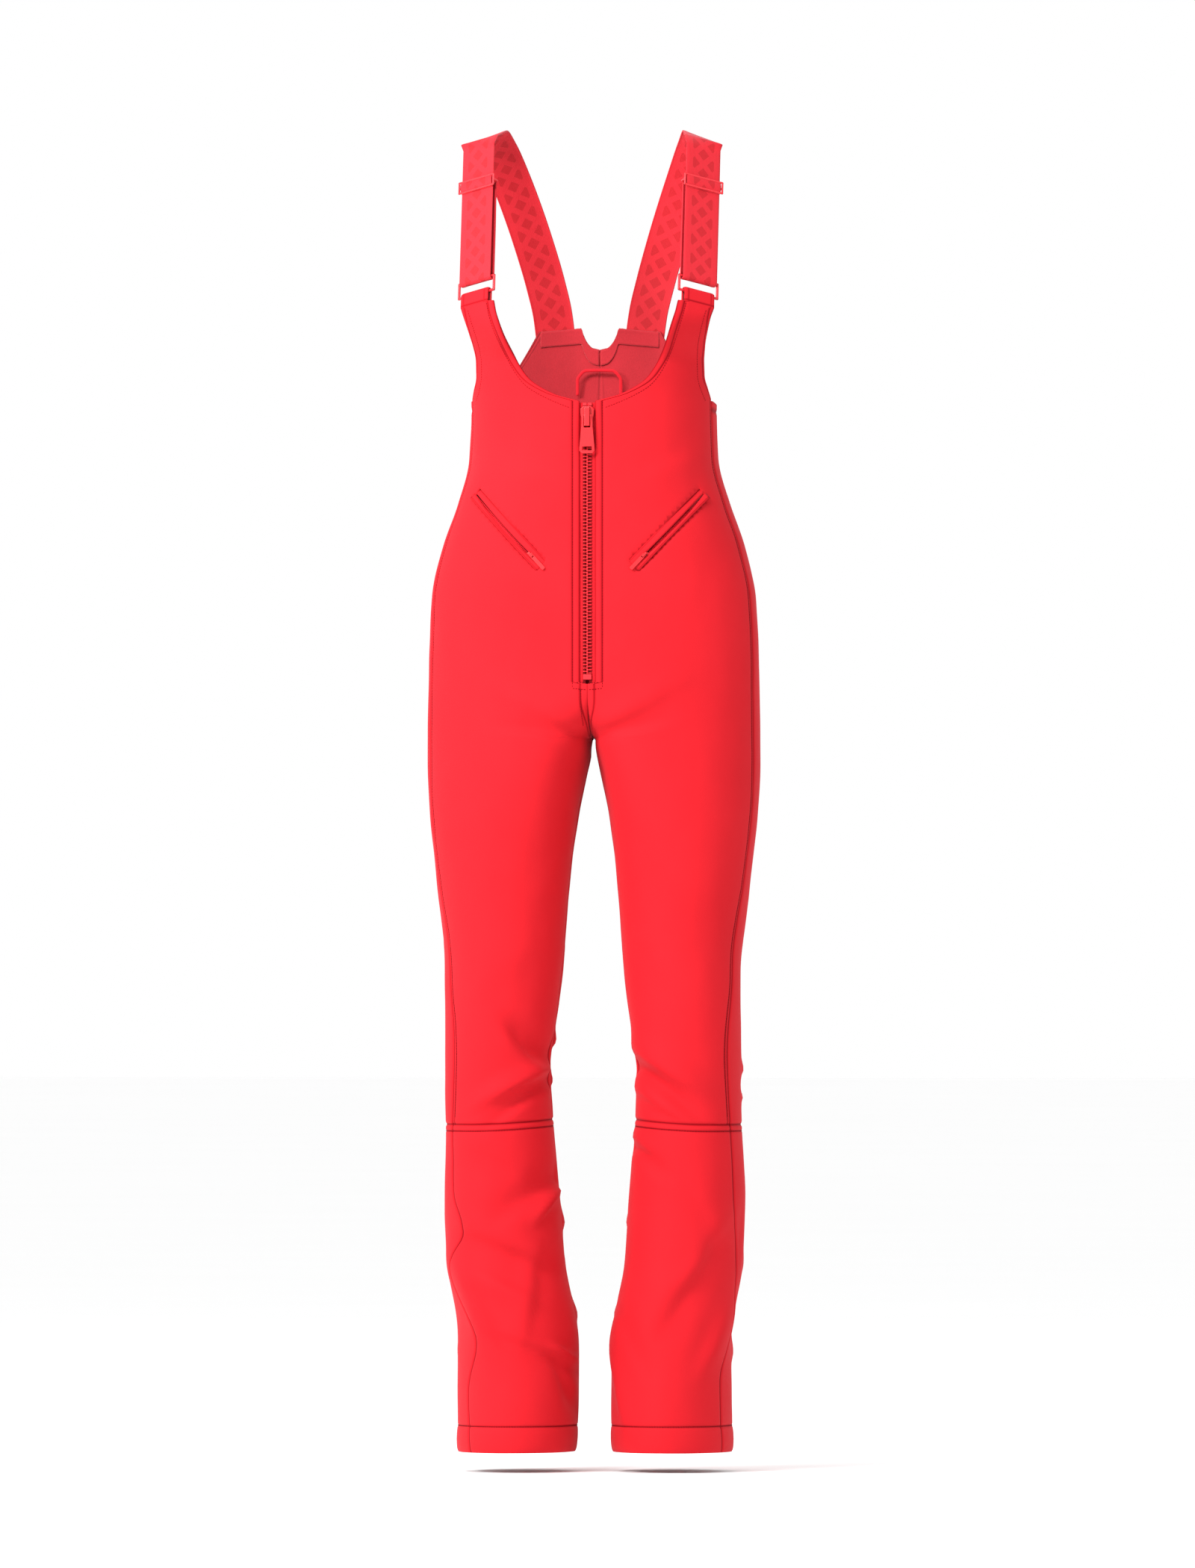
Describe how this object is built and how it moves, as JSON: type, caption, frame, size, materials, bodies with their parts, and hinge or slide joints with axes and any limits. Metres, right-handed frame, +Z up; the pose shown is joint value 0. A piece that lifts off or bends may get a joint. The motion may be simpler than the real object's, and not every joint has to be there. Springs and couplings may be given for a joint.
{
  "type": "ski bib pants",
  "caption": "Close-fitting softshell ski bib pants with a front zip, slanted zip pockets, ring-and-slider braces, shaped legs and inner snow gaiters.",
  "frame": {"origin": "midway between the tops of the two braces, where they lie over the wearer's shoulders", "axes": "+Z up, -Y towards the front of the garment, +X towards the wearer's left"},
  "size_m": [0.3666, 0.2605, 1.4576],
  "materials": {
    "shell": "matte stretch softshell",
    "facing": "brushed lining",
    "pocket_cloth": "plain woven pocketing",
    "welt": "bonded softshell",
    "webbing": "jacquard elastic webbing",
    "zip_tape": "woven zip tape",
    "zip_teeth": "moulded acetal",
    "zip_metal": "red lacquer",
    "zip_pull": "red lacquer",
    "buckle": "red coated wire",
    "gaiter": "light ripstop",
    "elastic": "gripper elastic",
    "label": "blank satin"
  },
  "bodies": {
    "garment": {"front_panel_left": "shell", "front_panel_right": "shell", "side_panel_left": "shell", "side_panel_right": "shell", "back_panel_left": "shell", "back_panel_right": "shell", "shin_panel_left": "shell", "shin_panel_right": "shell", "lower_side_panel_left": "shell", "lower_side_panel_right": "shell", "calf_panel_left": "shell", "calf_panel_right": "shell", "hem_facing_left": "shell", "hem_facing_right": "shell", "neck_facing_left": "facing", "neck_facing_right": "facing", "armhole_facing_left": "facing", "armhole_facing_right": "facing", "back_facing": "facing", "zip_guard": "facing", "pocket_bag_left": "pocket_cloth", "pocket_bag_right": "pocket_cloth", "pocket_welts_left": "welt", "pocket_welts_right": "welt", "bib_loop_left": "shell", "bib_loop_right": "shell", "strap_webbing_left": "webbing", "strap_webbing_right": "webbing", "strap_return_left": "webbing", "strap_return_right": "webbing", "zip_tape_left": "zip_tape", "zip_tape_right": "zip_tape", "pocket_tape_left": "zip_tape", "pocket_tape_right": "zip_tape", "zip_teeth_left": "zip_teeth", "zip_teeth_right": "zip_teeth", "zip_bottom_stop": "zip_teeth", "zip_top_stops": "zip_teeth", "pocket_coil_left": "zip_teeth", "pocket_coil_right": "zip_teeth", "gaiter_left": "gaiter", "gaiter_right": "gaiter", "gaiter_cuff_left": "elastic", "gaiter_cuff_right": "elastic", "hanger_loop": "webbing", "care_label": "label"},
    "zip_slider": {"zip_slider": "zip_metal", "zip_crown": "zip_metal"},
    "zip_pull": {"zip_pull": "zip_pull"},
    "pocket_slider_left": {"pocket_slider_left": "zip_metal"},
    "pocket_pull_left": {"pocket_pull_left": "zip_pull"},
    "strap_ring_left": {"strap_ring_left": "buckle"},
    "strap_adjuster_left": {"strap_adjuster_left": "buckle"},
    "pocket_slider_right": {"pocket_slider_right": "zip_metal"},
    "pocket_pull_right": {"pocket_pull_right": "zip_pull"},
    "strap_ring_right": {"strap_ring_right": "buckle"},
    "strap_adjuster_right": {"strap_adjuster_right": "buckle"}
  },
  "joints": [
    {"name": "main_zip_slide", "type": "slide", "parent": "garment", "child": "zip_slider", "axis": [0, 0, -1], "range_m": [0, 0.27], "deforming": ["zip_teeth_left", "zip_teeth_right"]},
    {"name": "main_pull_swing", "type": "hinge", "parent": "zip_slider", "child": "zip_pull", "pos_m": [0, -0.1303, -0.307], "axis": [-1, 0, 0], "range_deg": [0, 165]},
    {"name": "pocket_zip_slide_left", "type": "hinge", "parent": "garment", "child": "pocket_slider_left", "pos_m": [0.04915, 0.05382, -0.47437], "axis": [-0.7308, 0, 0.6826], "range_deg": [0, 29], "deforming": ["pocket_coil_left"]},
    {"name": "pocket_pull_swing_left", "type": "hinge", "parent": "pocket_slider_left", "child": "pocket_pull_left", "pos_m": [0.06265, -0.12357, -0.45991], "axis": [-0.7308, 0, 0.6826], "range_deg": [0, 150]},
    {"name": "adjuster_slide_left", "type": "slide", "parent": "garment", "child": "strap_adjuster_left", "axis": [0, 0.3746, 0.9272], "range_m": [-0.072, 0.034], "deforming": ["strap_return_left"]},
    {"name": "ring_rock_left", "type": "hinge", "parent": "garment", "child": "strap_ring_left", "pos_m": [0.122, -0.12637, -0.17376], "axis": [0.8191, 0.5319, -0.2149], "range_deg": [-3, 3]},
    {"name": "pocket_zip_slide_right", "type": "hinge", "parent": "garment", "child": "pocket_slider_right", "pos_m": [-0.04915, 0.05382, -0.47437], "axis": [-0.7308, 0, -0.6826], "range_deg": [0, 29], "deforming": ["pocket_coil_right"]},
    {"name": "pocket_pull_swing_right", "type": "hinge", "parent": "pocket_slider_right", "child": "pocket_pull_right", "pos_m": [-0.06265, -0.12357, -0.45991], "axis": [-0.7308, 0, -0.6826], "range_deg": [0, 150]},
    {"name": "adjuster_slide_right", "type": "slide", "parent": "garment", "child": "strap_adjuster_right", "axis": [0, 0.3746, 0.9272], "range_m": [-0.072, 0.034], "deforming": ["strap_return_right"]},
    {"name": "ring_rock_right", "type": "hinge", "parent": "garment", "child": "strap_ring_right", "pos_m": [-0.122, -0.12637, -0.17376], "axis": [0.8191, -0.5319, 0.2149], "range_deg": [-3, 3]}
  ]
}
